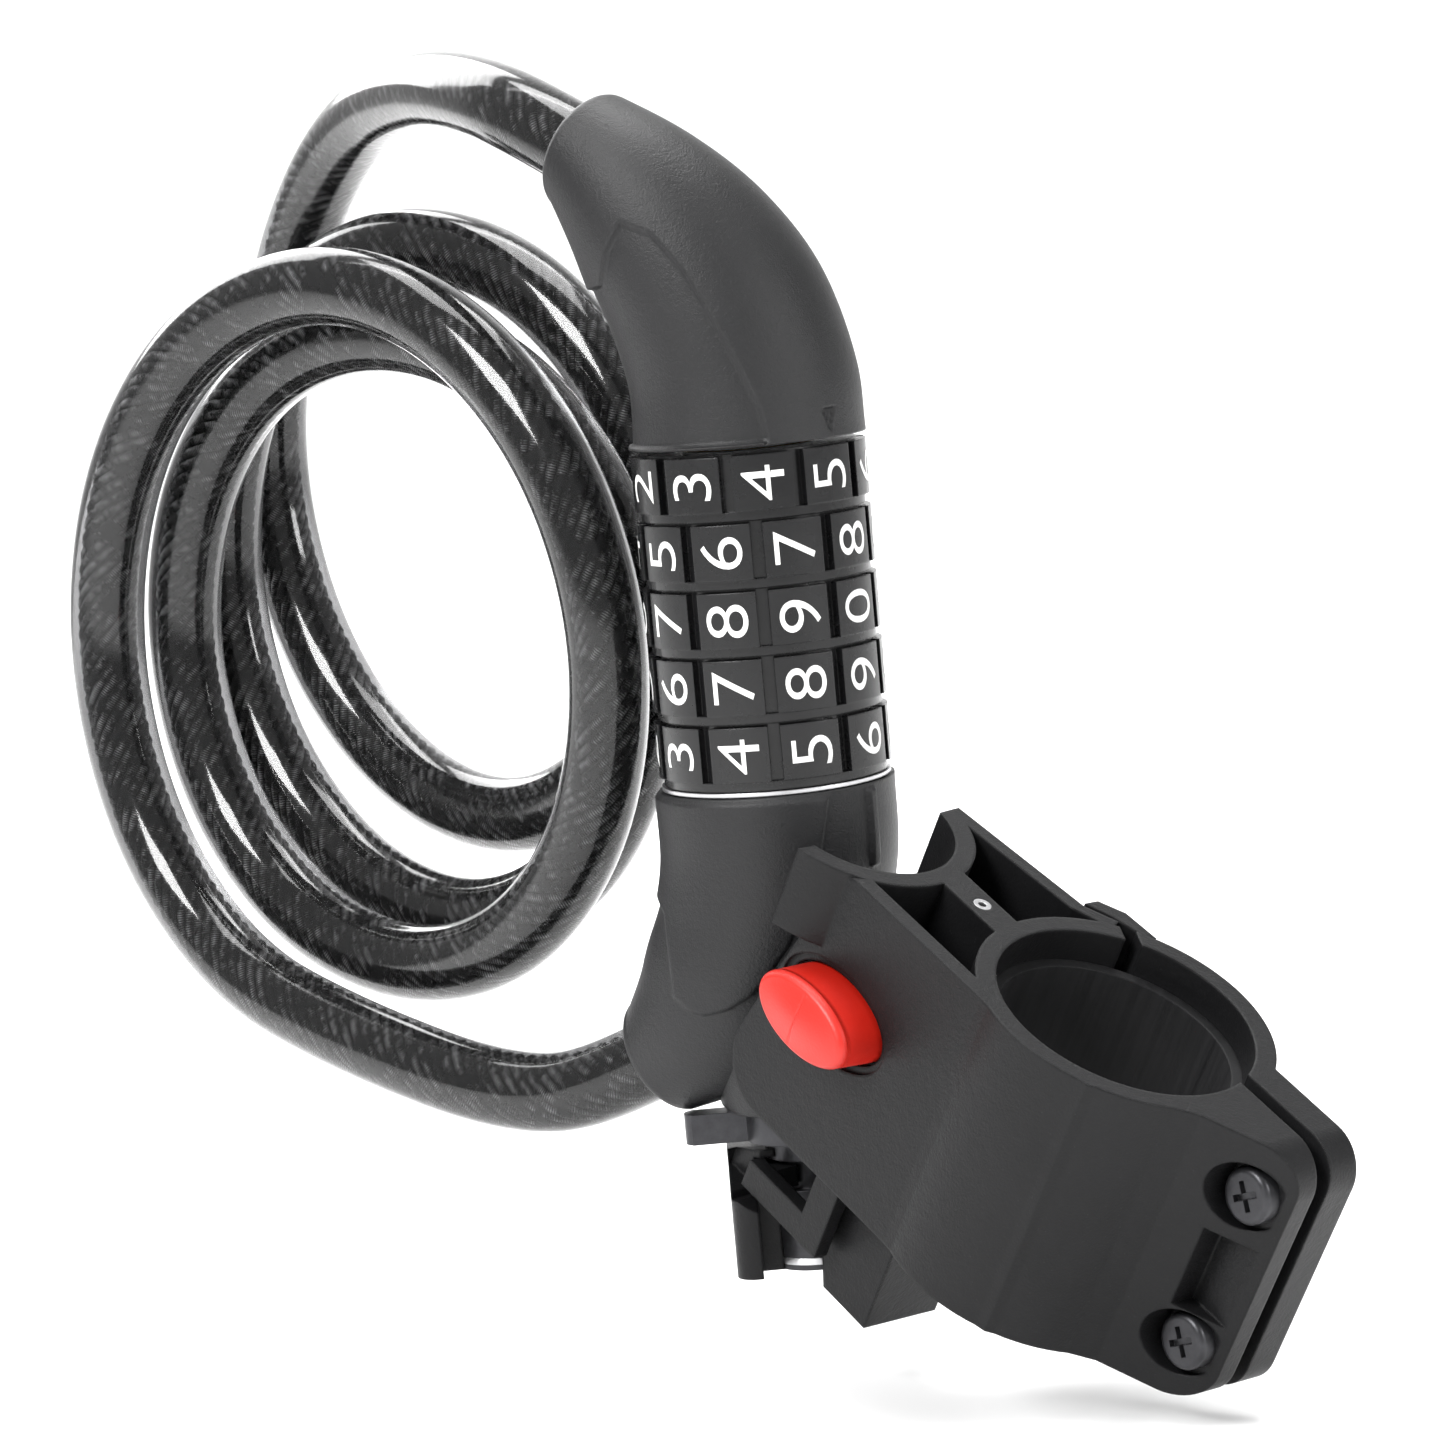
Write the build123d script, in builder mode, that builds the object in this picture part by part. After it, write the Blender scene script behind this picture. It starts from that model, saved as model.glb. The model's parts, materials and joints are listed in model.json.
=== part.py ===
from build123d import *
from math import cos, pi, radians, sin, tan
import os

os.makedirs("parts", exist_ok=True)

# A coiled-cable combination lock, docked in a bracket that clamps on a round tube.
# Millimetres, +Z up along the lock's own axis. The origin is the middle of the bracket's bore.

# ---------------------------------------------------------------- places
lock_x = -36.0          # the lock's axis, seen from the middle of the bore
lock_y = 43.6
lock_z = 71.0           # the middle of the stack of dials

tube_axis = Vector(0.366, -0.373, 0.8525)       # the clamped tube leans away from the lock
tube_to_screws = Vector(0.5364, -0.664, -0.5209)  # from the bore towards the clamp screws
bracket = Plane(origin=(0, 0, 0), x_dir=tube_to_screws, z_dir=tube_axis)
front_dir = bracket.y_dir * -1                  # the way the red button faces


def lock(height, x=0.0, y=0.0):
    """A horizontal plane on the lock, measured from the middle of its dials."""
    return Plane(origin=(lock_x + x, lock_y + y, lock_z + height))


def lock_point(x, y, z):
    return Vector(lock_x + x, lock_y + y, lock_z + z)


def on_bracket(z):
    return bracket.offset(z)


def bracket_point(x, y, z):
    return bracket.from_local_coords(Vector(x, y, z))


def facing_front(y):
    """A plane across the bracket: x towards the screws, y up the tube, normal to the front."""
    return Plane(origin=bracket_point(0, y, 0), x_dir=tube_to_screws, z_dir=front_dir)


def facing_screws(x):
    """A plane across the bracket: x towards the back, y up the tube, normal to the screws."""
    return Plane(origin=bracket_point(x, 0, 0), x_dir=bracket.y_dir, z_dir=tube_to_screws)


def facing(point, way):
    """A plane square to a direction, so that circles on such planes line up in a loft."""
    return Plane(origin=point, x_dir=Vector(0, 1, 0).cross(way), z_dir=way)


# ---------------------------------------------------------------- driving sizes
dial_count = 5
digit_count = 10
dial_pitch = 9.6
dial_gap = 0.1
stack_half = dial_count * dial_pitch / 2

pad_radius = 16.9
groove_radius = 15.5
flange_radius = 16.2
flange_height = 1.3
pad_width = 8.8
dial_phase = (-12.5, 0, 0, 0, 0)   # the top dial stands between two numbers
sleeve_radius = 10.0

barrel_radius = 7.0
barrel_bore = 4.7
slot_width = 3.4
bolt_radius = 4.6
tooth_tip = 8.7
tooth_width = 3.0
tooth_height = 2.4
tooth_relief = 9.0
relief_height = 3.4
bolt_tip = -25.5
bolt_top = 42.0

boot_radius = 17.1
core_radius = 14.4
mouth_radius = 9.2

cable_radius = 6.0
rope_radius = 3.0
cable_inset = 10.0      # how far the cable's jacket goes into each boot
ferrule_length = 7.0
ferrule_radius = 4.9

bore_radius = 18.5
ring_wall = 3.0
bracket_half = 21.0
plate_front = -20.4
plate_back = -17.8
slot_low = 5.7
slot_high = 8.3
liner_radius = 16.8
screw_x = 30.0
screw_z = 12.5
screw_radius = 2.0
screw_head_radius = 4.0

foot_radius = 6.4
foot_bottom = -96.0
running = 0.06          # radial clearance of turning and sliding fits

button_x = -31.0
button_z = 1.5
button_long = 9.7
button_short = 5.2
button_proud = 7.0
button_travel = 3.0

# ---------------------------------------------------------------- dials and code sleeves
# Each dial carries ten raised pads over a thin flange, and is pressed on a slotted sleeve.
dial_height = dial_pitch - dial_gap
pad_height = dial_height - flange_height

for number in range(1, dial_count + 1):
    base = stack_half - number * dial_pitch + dial_gap / 2

    with BuildPart() as dial:
        with BuildSketch(lock(base)):
            Circle(flange_radius)
        extrude(amount=flange_height)
        with BuildSketch(lock(base + flange_height)):
            Circle(groove_radius)
        extrude(amount=pad_height)
        with BuildSketch(lock(base + flange_height)):
            Circle(pad_radius)
            Circle(groove_radius - 0.5, mode=Mode.SUBTRACT)
            with PolarLocations(pad_radius, digit_count, start_angle=180 / digit_count + dial_phase[number - 1]):
                Rectangle(4, pad_radius * 2 * pi / digit_count - pad_width, mode=Mode.SUBTRACT)
        extrude(amount=pad_height - 0.3)
        with BuildSketch(lock(base)):
            Circle(sleeve_radius)
        extrude(amount=dial_height, mode=Mode.SUBTRACT)
    dial.part.label = f"dial_{number}"
    export_step(dial.part, f"parts/dial_{number}.step")

    with BuildPart() as sleeve:
        with BuildSketch(lock(base + 0.1)):
            Circle(sleeve_radius)
            Circle(barrel_radius + running, mode=Mode.SUBTRACT)
            with Locations((tooth_relief / 2, 0)):
                Rectangle(tooth_relief, tooth_width + 0.6, mode=Mode.SUBTRACT)
        extrude(amount=dial_height - 0.2)
        with BuildSketch(lock(base + 0.1)):
            Circle(tooth_relief)
        extrude(amount=relief_height, mode=Mode.SUBTRACT)
    sleeve.part.label = f"code_sleeve_{number}"
    export_step(sleeve.part, f"parts/code_sleeve_{number}.step")

# ---------------------------------------------------------------- barrel, bolt and stack parts
with BuildPart() as barrel:
    with BuildSketch(lock(-36)):
        Circle(barrel_radius)
        Circle(barrel_bore, mode=Mode.SUBTRACT)
        with Locations((barrel_radius / 2 + 1, 0)):
            Rectangle(barrel_radius + 2, slot_width, mode=Mode.SUBTRACT)
    extrude(amount=65)
    with BuildSketch(lock(-36)):
        Circle(barrel_radius)
    extrude(amount=8)
    # flat along the back for the click spring
    with BuildSketch(lock(-24)):
        with Locations((-barrel_radius, 0)):
            Rectangle(2.4, 4.2)
    extrude(amount=48, mode=Mode.SUBTRACT)
barrel.part.label = "barrel"
export_step(barrel.part, "parts/barrel.step")

with BuildPart() as click_spring:
    with BuildSketch(lock(-23.8)):
        with Locations((-barrel_radius + 0.95, 0)):
            Rectangle(0.4, 3.8)
    extrude(amount=47.6)
    for number in range(dial_count):
        height = (number - (dial_count - 1) / 2) * dial_pitch
        with BuildSketch(lock(height - 1)):
            with Locations((-barrel_radius + 0.65, 0)):
                Rectangle(0.4, 2.2)
        extrude(amount=2)
click_spring.part.label = "click_spring"
export_step(click_spring.part, "parts/click_spring.step")

with BuildPart() as bolt:
    with BuildSketch(lock(bolt_tip)):
        Circle(bolt_radius)
    extrude(amount=bolt_top - bolt_tip)
    chamfer(bolt.edges().group_by(Axis.Z)[0], 0.8)
    for number in range(1, dial_count + 1):
        base = stack_half - number * dial_pitch + dial_gap / 2 + 0.1
        with BuildSketch(lock(base + 0.5)):
            with Locations((tooth_tip / 2 + 1.5, 0)):
                Rectangle(tooth_tip - 3, tooth_width)
        extrude(amount=tooth_height)
bolt.part.label = "bolt"
export_step(bolt.part, "parts/bolt.step")

with BuildPart() as retaining_nut:
    with BuildSketch(lock(stack_half + 0.7)):
        Circle(9.5)
        Circle(barrel_radius, mode=Mode.SUBTRACT)
    extrude(amount=2.4)
    with BuildSketch(lock(stack_half + 0.7)):
        with Locations((barrel_radius, 0)):
            Rectangle(4.2, tooth_width + 0.8)
    extrude(amount=2.4, mode=Mode.SUBTRACT)
retaining_nut.part.label = "retaining_nut"
export_step(retaining_nut.part, "parts/retaining_nut.step")

with BuildPart() as wave_washer:
    with BuildSketch(lock(stack_half + 0.1)):
        Circle(9.4)
        Circle(barrel_radius + running, mode=Mode.SUBTRACT)
        with Locations((barrel_radius, 0)):
            Rectangle(4.2, tooth_width + 0.8, mode=Mode.SUBTRACT)
    extrude(amount=0.5)
wave_washer.part.label = "wave_washer"
export_step(wave_washer.part, "parts/wave_washer.step")

with BuildPart() as base_ring:
    with BuildSketch(lock(-stack_half - 0.7)):
        Circle(boot_radius - 0.5)
        Circle(barrel_radius, mode=Mode.SUBTRACT)
    extrude(amount=0.6)
base_ring.part.label = "base_ring"
export_step(base_ring.part, "parts/base_ring.step")

# ---------------------------------------------------------------- cable route
# Both boots turn the cable out to the left and away. The turns lean back from the lock and
# stand one beside the next, each a little higher than the last.
lower_mouth = lock_point(-19.0, 4.5, -64.0)
lower_way = Vector(-0.75, 0.47, -0.46).normalized()
upper_mouth = lock_point(-18.5, 5.0, 67.0)
upper_way = Vector(-0.66, 0.59, 0.47).normalized()

coil_heading = radians(45)        # the coil's axis, from +Y towards +X
coil_axis = Vector(sin(coil_heading), cos(coil_heading), 0)
coil_right = Vector(cos(coil_heading), -sin(coil_heading), 0)
coil_start = lock_point(-69.4, 47.3, -7.6)
coil_pitch = 12.8
half_turn_radius = (57.8, 56.0, 54.2, 52.0, 50.0, 50.8, 51.2, 54.6, 57.4)
half_turn_rise = (0, 4, 4, -1, 5, 13, 20, 37.5, 56)
half_turn_shift = (0.4, 2.4, 3, 0.5, -1, -7.5, -4.5, -1.1, 2.9)
points_per_turn = 12
last_point = 39


def along(values, halves):
    """The value a number of half turns along the coil, between the two listed beside it."""
    index = min(int(halves), len(values) - 2)
    part = halves - index
    return values[index] * (1 - part) + values[index + 1] * part


def coil_point(turns):
    halves = 2 * turns
    angle = 2 * pi * turns
    radius = along(half_turn_radius, halves)
    centre = coil_start + coil_axis * (coil_pitch * turns)
    centre += coil_right * along(half_turn_shift, halves)
    centre += Vector(0, 0, along(half_turn_rise, halves))
    return centre - coil_right * (radius * sin(angle)) - Vector(0, 0, radius * cos(angle))


lower_lead = [
    lower_mouth - lower_way * cable_inset,
    lower_mouth + lower_way * 11,
    lock_point(-43, 22, -72.5),
]
upper_lead = [
    lock_point(-73, 108, 48),
    lock_point(-64.5, 95, 65.5),
    lock_point(-55, 77, 75.5),
    lock_point(-45.5, 55, 78.5),
    lock_point(-36.5, 33, 77.5),
    upper_mouth + upper_way * 12,
    upper_mouth - upper_way * cable_inset,
]
turns = [coil_point(step / points_per_turn) for step in range(last_point + 1)]
route = lower_lead + turns + upper_lead


def corner_radii(points):
    """For each corner, 0.45 of its shorter run over the tangent of half its turn."""
    radii = []
    for before, here, after in zip(points, points[1:], points[2:]):
        come = here - before
        go = after - here
        half = radians(come.get_angle(go)) / 2
        radii.append(0.45 * min(come.length, go.length) / tan(half))
    return radii


radii = corner_radii(route)
print("cable corner radii:", [round(r, 1) for r in radii])
print("cable runs:", [round((b - a).length, 1) for a, b in zip(route, route[1:])])

with BuildLine() as cable_line:
    FilletPolyline(*route, radius=radii)
cable_length = sum(edge.length for edge in cable_line.edges())
print("cable length:", round(cable_length, 1))

with BuildPart() as cable_jacket:
    with BuildLine() as jacket_line:
        FilletPolyline(*route, radius=radii)
    with BuildSketch(facing(route[0], lower_way)):
        Circle(cable_radius)
        Circle(rope_radius, mode=Mode.SUBTRACT)
    sweep(path=jacket_line.line)
cable_jacket.part.label = "cable_jacket"
export_step(cable_jacket.part, "parts/cable_jacket.step")
section = pi * (cable_radius ** 2 - rope_radius ** 2)
print("jacket volume / section x length:", round(cable_jacket.part.volume / (section * cable_length), 4))

with BuildPart() as wire_rope:
    with BuildLine() as rope_line:
        FilletPolyline(*route, radius=radii)
    with BuildSketch(facing(route[0], lower_way)):
        Circle(rope_radius)
    sweep(path=rope_line.line)
    # the bare ends that the ferrules are crimped on
    with BuildSketch(facing(route[0], lower_way * -1)):
        Circle(rope_radius)
    extrude(amount=ferrule_length)
    with BuildSketch(facing(route[-1], upper_way * -1)):
        Circle(rope_radius)
    extrude(amount=ferrule_length)
wire_rope.part.label = "wire_rope"
export_step(wire_rope.part, "parts/wire_rope.step")

for end, point, way in (("lower", route[0], lower_way), ("upper", route[-1], upper_way)):
    with BuildPart() as ferrule:
        with BuildSketch(facing(point, way * -1)):
            Circle(ferrule_radius)
            Circle(rope_radius, mode=Mode.SUBTRACT)
        extrude(amount=ferrule_length)
    ferrule.part.label = f"{end}_ferrule"
    export_step(ferrule.part, f"parts/{end}_ferrule.step")

# ---------------------------------------------------------------- boots and cores
# A boot is a soft cap over a metal core. It is round at the dials and narrows to the cable.
with BuildPart() as upper_core:
    with BuildSketch(lock(stack_half + 0.7)):
        Circle(core_radius)
    extrude(amount=19.3)
    with BuildSketch(lock(44, x=-5)):
        Circle(7.5)
    extrude(amount=10)
    with BuildSketch(lock(stack_half + 0.7)):
        Circle(9.7)
    extrude(amount=3.2, mode=Mode.SUBTRACT)
    with BuildSketch(lock(stack_half + 0.7)):
        Circle(barrel_radius + running)
    extrude(amount=4.8, mode=Mode.SUBTRACT)
    with BuildSketch(lock(bolt_tip)):
        Circle(bolt_radius)
    extrude(amount=bolt_top - bolt_tip, mode=Mode.SUBTRACT)
    with BuildSketch(facing(route[-1], upper_way * -1)):
        Circle(ferrule_radius)
    extrude(amount=ferrule_length, mode=Mode.SUBTRACT)
upper_core.part.label = "upper_core"
export_step(upper_core.part, "parts/upper_core.step")

upper_sections = [
    ((0, 0, stack_half + 0.7), (0, 0, 1), boot_radius),
    ((-0.2, 0, 34), (-0.06, 0, 1), 16.8),
    ((-2.9, 0.2, 44.5), (-0.27, 0.04, 1), 16.0),
    ((-7.4, 1.0, 53.5), (-0.45, 0.15, 1), 14.6),
    ((-12.6, 2.4, 60.8), (-0.62, 0.38, 0.8), 12.2),
    (upper_mouth - lock_point(0, 0, 0), upper_way, mouth_radius),
]
with BuildPart() as upper_boot:
    for place, way, radius in upper_sections:
        with BuildSketch(facing(lock_point(*place), Vector(*way).normalized())):
            Circle(radius)
    loft()
    with BuildSketch(lock(stack_half + 0.7)):
        Circle(core_radius)
    extrude(amount=19.3, mode=Mode.SUBTRACT)
    with BuildSketch(lock(44, x=-5)):
        Circle(7.5)
    extrude(amount=10, mode=Mode.SUBTRACT)
    with BuildSketch(facing(upper_mouth + upper_way, upper_way * -1)):
        Circle(cable_radius)
    extrude(amount=cable_inset + 1, mode=Mode.SUBTRACT)
    with BuildSketch(facing(route[-1], upper_way * -1)):
        Circle(ferrule_radius)
    extrude(amount=ferrule_length, mode=Mode.SUBTRACT)
upper_boot.part.label = "upper_boot"
export_step(upper_boot.part, "parts/upper_boot.step")

with BuildPart() as lower_core:
    with BuildSketch(lock(-46)):
        Circle(core_radius)
    extrude(amount=46 - stack_half - 0.7)
    with BuildSketch(lock(-72.5)):
        Circle(8.5)
    extrude(amount=26.5)
    with BuildSketch(lock(-36)):
        Circle(barrel_radius)
    extrude(amount=36, mode=Mode.SUBTRACT)
    with BuildSketch(lock(-72.5)):
        Circle(screw_radius)
    extrude(amount=14, mode=Mode.SUBTRACT)
    with BuildSketch(facing(route[0] + lower_way * cable_inset, lower_way * -1)):
        Circle(cable_radius)
    extrude(amount=cable_inset, mode=Mode.SUBTRACT)
    with BuildSketch(facing(route[0], lower_way * -1)):
        Circle(ferrule_radius)
    extrude(amount=ferrule_length, mode=Mode.SUBTRACT)
lower_core.part.label = "lower_core"
export_step(lower_core.part, "parts/lower_core.step")

lower_sections = [
    ((0, 0, -stack_half - 0.7), (0, 0, -1), boot_radius),
    ((-0.3, 0, -36), (-0.06, 0, -1), 16.9),
    ((-2.8, 0.3, -45.5), (-0.3, 0.04, -1), 16.2),
    ((-7.4, 1.2, -53.5), (-0.5, 0.15, -1), 14.8),
    ((-12.8, 2.6, -59.5), (-0.68, 0.34, -0.75), 12.4),
    (lower_mouth - lock_point(0, 0, 0), lower_way, mouth_radius),
]
with BuildPart() as lower_boot:
    for place, way, radius in lower_sections:
        with BuildSketch(facing(lock_point(*place), Vector(*way).normalized())):
            Circle(radius)
    loft()
    # the straight end that carries the foot
    with BuildSketch(lock(-44)):
        Circle(16.2)
    with BuildSketch(lock(-72.5)):
        Circle(11.5)
    loft()
    with BuildSketch(lock(-46)):
        Circle(core_radius)
    extrude(amount=46 - stack_half - 0.7, mode=Mode.SUBTRACT)
    with BuildSketch(lock(-72.5)):
        Circle(8.5)
    extrude(amount=26.5, mode=Mode.SUBTRACT)
    with BuildSketch(facing(lower_mouth + lower_way, lower_way * -1)):
        Circle(cable_radius)
    extrude(amount=cable_inset + 1, mode=Mode.SUBTRACT)
    with BuildSketch(facing(route[0], lower_way * -1)):
        Circle(ferrule_radius)
    extrude(amount=ferrule_length, mode=Mode.SUBTRACT)
lower_boot.part.label = "lower_boot"
export_step(lower_boot.part, "parts/lower_boot.step")

# ---------------------------------------------------------------- mounting foot
groove_low = -84.2
groove_high = -79.8
groove_depth = 1.9
foot_ring_heights = (-88.5, -95.2)

with BuildPart() as mount_foot:
    with BuildSketch(lock(-77)):
        Circle(9)
        with Locations((-12, 0)):
            Rectangle(9.6, 4)
        with Locations((-15.8, 0)):
            Circle(2)
    extrude(amount=4.5)
    with BuildSketch(lock(foot_bottom)):
        Circle(foot_radius)
    extrude(amount=-77 - foot_bottom)
    with BuildSketch(lock(groove_low)):
        Circle(foot_radius + 1)
        Circle(foot_radius - groove_depth, mode=Mode.SUBTRACT)
    extrude(amount=groove_high - groove_low, mode=Mode.SUBTRACT)
    for height in foot_ring_heights:
        with BuildSketch(lock(height)):
            Circle(foot_radius)
            Circle(foot_radius - 1, mode=Mode.SUBTRACT)
        extrude(amount=1, mode=Mode.SUBTRACT)
    with BuildSketch(lock(foot_bottom)):
        Circle(screw_radius)
    extrude(amount=24, mode=Mode.SUBTRACT)
    with BuildSketch(lock(foot_bottom)):
        Circle(3.6)
    extrude(amount=4, mode=Mode.SUBTRACT)
mount_foot.part.label = "mount_foot"
export_step(mount_foot.part, "parts/mount_foot.step")

with BuildPart() as foot_rings:
    for height in foot_ring_heights:
        with BuildSketch(lock(height)):
            Circle(foot_radius)
            Circle(foot_radius - 1, mode=Mode.SUBTRACT)
        extrude(amount=1)
foot_rings.part.label = "foot_rings"
export_step(foot_rings.part, "parts/foot_rings.step")

with BuildPart() as foot_screw:
    with BuildSketch(lock(foot_bottom + 1.6)):
        Circle(3.5)
    extrude(amount=2.4)
    with BuildSketch(lock(foot_bottom + 4)):
        Circle(screw_radius)
    extrude(amount=30)
    with BuildSketch(lock(foot_bottom + 1.6)):
        Rectangle(4, 0.9)
        Rectangle(0.9, 4)
    extrude(amount=1.4, mode=Mode.SUBTRACT)
foot_screw.part.label = "foot_screw"
export_step(foot_screw.part, "parts/foot_screw.step")

# ---------------------------------------------------------------- bracket body
floor_low = 8.6
floor_high = 10.4
outer_radius = bore_radius + ring_wall
cradle_x = -48.0
cradle_y = -8.4
cradle_radius = 13.3
cradle_wall = 3.0
lock_clearance = 17.7
lever_x = -28.5
lever_width = 5.0
pivot_y = -9.7
pivot_z = -23.5
pin_radius = 1.2

flange_end = 35.5
corner_radius = 6.0
corner_x = flange_end - corner_radius
corner_z = bracket_half - corner_radius

with BuildPart() as bracket_front:
    # box behind the front plate, with its slanted left edge
    with BuildSketch(facing_front(9.5)):
        with BuildLine():
            Polyline((-40.6, floor_high), (-48.5, -21), (-10, -21), (-10, floor_high), close=True)
        make_face()
        fillet(vertices().sort_by(Axis.X)[0:1], 8)
    extrude(amount=9.5 - plate_front)
    # front plate
    with BuildSketch(facing_front(plate_back)):
        with BuildLine():
            Polyline((-38, 21), (-48.5, -21), (-6, -21), (-6, 21), close=True)
        make_face()
        fillet(vertices().sort_by(Axis.X)[1:2], 4)
        fillet(vertices().sort_by(Axis.X)[0:1], 8)
    extrude(amount=plate_back - plate_front)
    # front half of the clamp ring, and the flange that takes the screws
    with BuildSketch(on_bracket(-bracket_half)):
        Circle(outer_radius)
        with BuildLine():
            Polyline((-8, plate_front), (2, -21.4), (12, -18.3), (22, -6), (35.5, 2.4), (35.5, 8), (0, 8), close=True)
        make_face()
        with BuildLine():
            Polyline((0, slot_low), (60, slot_low), (60, 60), (-50, 60), (-50, 30), close=True)
        make_face(mode=Mode.SUBTRACT)
    extrude(amount=2 * bracket_half)
    # open pockets above the box: back wall, cradle wall and web
    with BuildSketch(on_bracket(floor_low)):
        with BuildLine():
            Polyline((-47, 6.6), (-22, 9.4), (-16.4, 12.3), (-17.6, 14.4), (-22, 11.6), (-47, 8.8), close=True)
        make_face()
        with Locations((cradle_x, cradle_y)):
            Circle(cradle_radius + cradle_wall)
        with Locations((-26, -4.5)):
            Rectangle(16, 5)
        with BuildLine():
            Polyline((-70, -60), (-44, -60), (-44, plate_front), (-47, 8.8), (-47, 40), (-70, 40), close=True)
        make_face(mode=Mode.SUBTRACT)
        with Locations((cradle_x, cradle_y)):
            Circle(cradle_radius, mode=Mode.SUBTRACT)
    extrude(amount=bracket_half - floor_low)
    # room in the box for the button and its lever
    with BuildSketch(facing_front(-4)):
        with BuildLine():
            Polyline((-39.7, floor_low), (-45.8, -16), (-45.8, -21), (-20, -21), (-20, floor_low), close=True)
        make_face()
    extrude(amount=plate_back * -1 - 4, mode=Mode.SUBTRACT)
    # oval opening of the button
    with BuildSketch(facing_front(plate_back)):
        with Locations((button_x, button_z)):
            Ellipse(button_long + 0.4, button_short + 0.4)
    extrude(amount=4, mode=Mode.SUBTRACT)
    with BuildSketch(facing_front(plate_front + 0.7)):
        with Locations((button_x, button_z)):
            Ellipse(button_long + 1.5, button_short + 1.5)
    extrude(amount=4, mode=Mode.SUBTRACT)
    # bore, screw holes and the shallow badge recess between them
    with BuildSketch(on_bracket(-bracket_half)):
        Circle(bore_radius)
    extrude(amount=2 * bracket_half, mode=Mode.SUBTRACT)
    with BuildSketch(facing_front(slot_low)):
        with Locations((screw_x, screw_z), (screw_x, -screw_z)):
            Circle(screw_radius + 0.2)
    extrude(amount=30, mode=Mode.SUBTRACT)
    with BuildSketch(facing_front(1.6)):
        with Locations((screw_x, screw_z), (screw_x, -screw_z)):
            Circle(screw_head_radius + 0.9)
        with Locations((screw_x + 1.2, -1)):
            Rectangle(8, 13)
    extrude(amount=30, mode=Mode.SUBTRACT)
    # rounded corners at the flange's free end
    with BuildSketch(facing_front(20)):
        for side in (-1, 1):
            with Locations((corner_x + corner_radius / 2 + 1, side * (corner_z + corner_radius / 2 + 1))):
                Rectangle(corner_radius + 2, corner_radius + 2)
        with Locations((corner_x, corner_z), (corner_x, -corner_z)):
            Circle(corner_radius, mode=Mode.SUBTRACT)
    extrude(amount=32, mode=Mode.SUBTRACT)
    # the lock's lower boot passes here
    with BuildSketch(lock(-78)):
        Circle(lock_clearance)
    extrude(amount=78, mode=Mode.SUBTRACT)
    with BuildSketch(on_bracket(floor_high)):
        with Locations((-26.1, -4.5)):
            Circle(1.3)
    extrude(amount=20, mode=Mode.SUBTRACT)
bracket_front.part.label = "bracket_front"
export_step(bracket_front.part, "parts/bracket_front.step")
print("bracket solids:", len(bracket_front.part.solids()))

with BuildPart() as web_rivet:
    with BuildSketch(on_bracket(floor_high)):
        with Locations((-26.1, -4.5)):
            Circle(1.3)
            Circle(0.6, mode=Mode.SUBTRACT)
    extrude(amount=bracket_half - floor_high)
web_rivet.part.label = "web_rivet"
export_step(web_rivet.part, "parts/web_rivet.step")

with BuildPart() as clamp_strap:
    with BuildSketch(on_bracket(-bracket_half)):
        Circle(outer_radius)
        with BuildLine():
            Polyline((0, slot_high), (35.5, slot_high), (35.5, 13.5), (16.4, 13.5), (9, 19.5), (0, 19.5), close=True)
        make_face()
        with BuildLine():
            Polyline((0, slot_high), (60, slot_high), (60, -60), (-60, -60), (-60, 38), (-50, 32.5), close=True)
        make_face(mode=Mode.SUBTRACT)
        Circle(bore_radius, mode=Mode.SUBTRACT)
    extrude(amount=2 * bracket_half)
    # the hook that reaches over the end of the other half
    with BuildSketch(on_bracket(-bracket_half)):
        with BuildLine():
            Polyline((-14.3, 15.9), (-18.5, 14.5), (-22.5, 12.2), (-22.5, 14.8), (-19, 17.2), (-12.8, 17.6), close=True)
        make_face()
    extrude(amount=2 * bracket_half)
    with BuildSketch(facing_front(slot_high)):
        with Locations((screw_x, screw_z), (screw_x, -screw_z)):
            Circle(screw_radius + 0.2)
    extrude(amount=-8, mode=Mode.SUBTRACT)
    with BuildSketch(facing_front(13.5)):
        with Locations((screw_x, screw_z), (screw_x, -screw_z)):
            RegularPolygon(4.05, 6)
    extrude(amount=3.2, mode=Mode.SUBTRACT)
    # rounded corners at the flange's free end
    with BuildSketch(facing_front(20)):
        for side in (-1, 1):
            with Locations((corner_x + corner_radius / 2 + 1, side * (corner_z + corner_radius / 2 + 1))):
                Rectangle(corner_radius + 2, corner_radius + 2)
        with Locations((corner_x, corner_z), (corner_x, -corner_z)):
            Circle(corner_radius, mode=Mode.SUBTRACT)
    extrude(amount=32, mode=Mode.SUBTRACT)
clamp_strap.part.label = "clamp_strap"
export_step(clamp_strap.part, "parts/clamp_strap.step")

with BuildPart() as clamp_screws:
    with BuildSketch(facing_front(1.6)):
        with Locations((screw_x, screw_z), (screw_x, -screw_z)):
            Circle(screw_head_radius)
    extrude(amount=2.6)
    fillet(clamp_screws.faces().sort_by(Axis(bracket_point(0, 0, 0), front_dir))[-2:].edges(), 0.9)
    with BuildSketch(facing_front(1.6)):
        with Locations((screw_x, screw_z), (screw_x, -screw_z)):
            Circle(screw_radius)
    extrude(amount=-13)
    with BuildSketch(facing_front(-0.1)):
        with Locations((screw_x, screw_z), (screw_x, -screw_z)):
            Rectangle(4.2, 0.9, rotation=45)
            Rectangle(0.9, 4.2, rotation=45)
    extrude(amount=3, mode=Mode.SUBTRACT)
clamp_screws.part.label = "clamp_screws"
export_step(clamp_screws.part, "parts/clamp_screws.step")

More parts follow.
